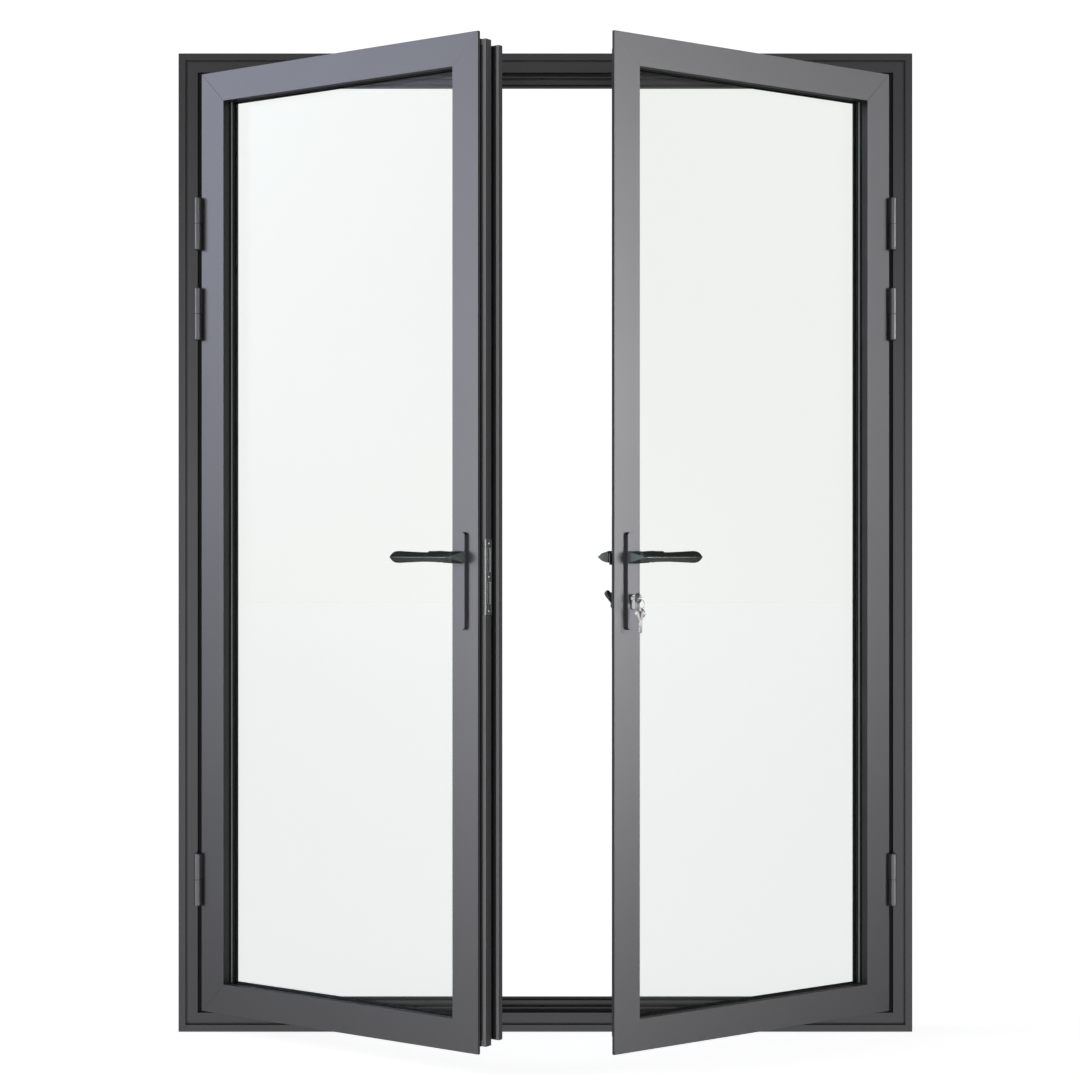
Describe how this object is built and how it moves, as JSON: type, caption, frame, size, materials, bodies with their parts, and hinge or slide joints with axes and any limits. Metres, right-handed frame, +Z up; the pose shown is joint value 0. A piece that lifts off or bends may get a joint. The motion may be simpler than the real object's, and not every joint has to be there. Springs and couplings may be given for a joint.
{
  "type": "french doors",
  "caption": "Outward-opening double-glazed french doors in a stepped aluminium frame, with lever handles, backplates, barrel hinges, and a lock with a key and ring.",
  "frame": {"origin": "underside of the sill, in the middle of its length and of the frame's depth", "axes": "+Z up, +X to the right seen from outside, +Y into the building; leaves open towards -Y"},
  "size_m": [1.8, 0.5822, 2.4],
  "materials": {
    "frame_coat": "matt anthracite powder coat",
    "leaf_coat": "matt anthracite powder coat",
    "glass": "clear float glass",
    "spacer": "dull mill finish",
    "gasket": "black extruded rubber",
    "hinge_coat": "satin powder coat",
    "lever": "satin blue-grey coat",
    "plate_coat": "matt anthracite powder coat",
    "lock_steel": "zinc-plated steel",
    "bright_steel": "polished nickel plate",
    "cleat": "mill finish",
    "cap": "black moulded plastic",
    "thumb": "satin green-grey coat"
  },
  "bodies": {
    "frame": {"frame_head": "frame_coat", "frame_sill": "frame_coat", "frame_jamb_left": "frame_coat", "frame_jamb_right": "frame_coat", "frame_corner_cleats": "cleat", "frame_front_gasket": "gasket", "frame_rear_gasket": "gasket", "hinge_frame_knuckles": "hinge_coat", "hinge_pins": "lock_steel"},
    "left_leaf": {"left_top_rail": "leaf_coat", "left_bottom_rail": "leaf_coat", "left_hinge_stile": "leaf_coat", "left_meeting_stile": "leaf_coat", "left_meeting_profile": "leaf_coat", "left_meeting_end_caps": "cap", "left_meeting_gasket": "gasket", "left_corner_cleats": "cleat", "left_outer_pane": "glass", "left_inner_pane": "glass", "left_glass_spacer": "spacer", "left_outer_glazing_gasket": "gasket", "left_inner_glazing_gasket": "gasket", "left_glazing_beads": "leaf_coat", "left_hinge_knuckles": "hinge_coat", "left_front_backplate": "plate_coat", "left_rear_rosette": "plate_coat", "left_gear_case": "lock_steel", "strike_plate": "lock_steel", "strike_screws": "lock_steel"},
    "left_lever": {"left_front_lever": "lever", "left_rear_lever": "lever", "left_spindle": "lock_steel"},
    "upper_bolt": {"upper_shoot_bolt": "lock_steel"},
    "lower_bolt": {"lower_shoot_bolt": "lock_steel"},
    "right_leaf": {"right_top_rail": "leaf_coat", "right_bottom_rail": "leaf_coat", "right_hinge_stile": "leaf_coat", "right_lock_stile": "leaf_coat", "right_corner_cleats": "cleat", "right_outer_pane": "glass", "right_inner_pane": "glass", "right_glass_spacer": "spacer", "right_outer_glazing_gasket": "gasket", "right_inner_glazing_gasket": "gasket", "right_glazing_beads": "leaf_coat", "right_hinge_knuckles": "hinge_coat", "right_front_backplate": "plate_coat", "right_rear_rosettes": "plate_coat", "lock_case": "lock_steel", "lock_cylinder": "bright_steel"},
    "right_lever": {"right_front_lever": "lever", "right_rear_lever": "lever", "right_spindle": "lock_steel"},
    "latch": {"latch_bolt": "lock_steel"},
    "bolt": {"deadbolt": "lock_steel"},
    "key": {"cylinder_plug": "bright_steel", "key": "bright_steel"},
    "thumb": {"thumb_turn": "thumb"},
    "ring": {"key_ring": "bright_steel"},
    "spare": {"spare_key": "bright_steel"}
  },
  "joints": [
    {"name": "left_leaf_hinge", "type": "hinge", "parent": "frame", "child": "left_leaf", "pos_m": [-0.8515, -0.043, 0], "axis": [0, 0, -1], "range_deg": [-35, 75]},
    {"name": "right_leaf_hinge", "type": "hinge", "parent": "frame", "child": "right_leaf", "pos_m": [0.8515, -0.043, 0], "axis": [0, 0, 1], "range_deg": [-35.4, 75]},
    {"name": "left_lever_turn", "type": "hinge", "parent": "left_leaf", "child": "left_lever", "pos_m": [-0.18717, -0.49596, 1.167], "axis": [-0.5736, -0.8192, 0], "range_deg": [0, 90]},
    {"name": "right_lever_turn", "type": "hinge", "parent": "right_leaf", "child": "right_lever", "pos_m": [0.19034, -0.50059, 1.167], "axis": [-0.5793, 0.8151, 0], "range_deg": [0, 45], "stiffness_Nm_per_rad": 1.5, "springref_deg": -28.65},
    {"name": "upper_bolt_slide", "type": "slide", "parent": "left_leaf", "child": "upper_bolt", "axis": [0, 0, 1], "range_m": [0, 0.022]},
    {"name": "lower_bolt_slide", "type": "slide", "parent": "left_leaf", "child": "lower_bolt", "axis": [0, 0, -1], "range_m": [0, 0.022]},
    {"name": "latch_slide", "type": "slide", "parent": "right_leaf", "child": "latch", "axis": [0.8151, 0.5793, 0], "range_m": [0, 0.0155]},
    {"name": "deadbolt_slide", "type": "slide", "parent": "right_leaf", "child": "bolt", "axis": [-0.8151, -0.5793, 0], "range_m": [0, 0.017]},
    {"name": "key_turn", "type": "hinge", "parent": "right_leaf", "child": "key", "pos_m": [0.19034, -0.50059, 1.075], "axis": [-0.5793, 0.8151, 0], "range_deg": [0, 360]},
    {"name": "thumb_turn_turn", "type": "hinge", "parent": "right_leaf", "child": "thumb", "pos_m": [0.19034, -0.50059, 1.075], "axis": [-0.5793, 0.8151, 0], "range_deg": [0, 360]},
    {"name": "ring_swing", "type": "hinge", "parent": "key", "child": "ring", "pos_m": [0.21207, -0.53116, 1.0732], "axis": [-0.8151, -0.5793, 0], "range_deg": [-13, 90]},
    {"name": "spare_key_swing", "type": "hinge", "parent": "ring", "child": "spare", "pos_m": [0.21207, -0.53116, 1.0496], "axis": [-0.8151, -0.5793, 0], "range_deg": [-9, 60]}
  ],
  "couplings": [
    {"joint": "upper_bolt_slide", "follows": "left_lever_turn", "m_per_rad": 0.014},
    {"joint": "lower_bolt_slide", "follows": "left_lever_turn", "m_per_rad": 0.014},
    {"joint": "latch_slide", "follows": "right_lever_turn", "m_per_rad": 0.0195},
    {"joint": "deadbolt_slide", "follows": "key_turn", "m_per_rad": 0.00269},
    {"joint": "thumb_turn_turn", "follows": "key_turn", "ratio": 1}
  ]
}
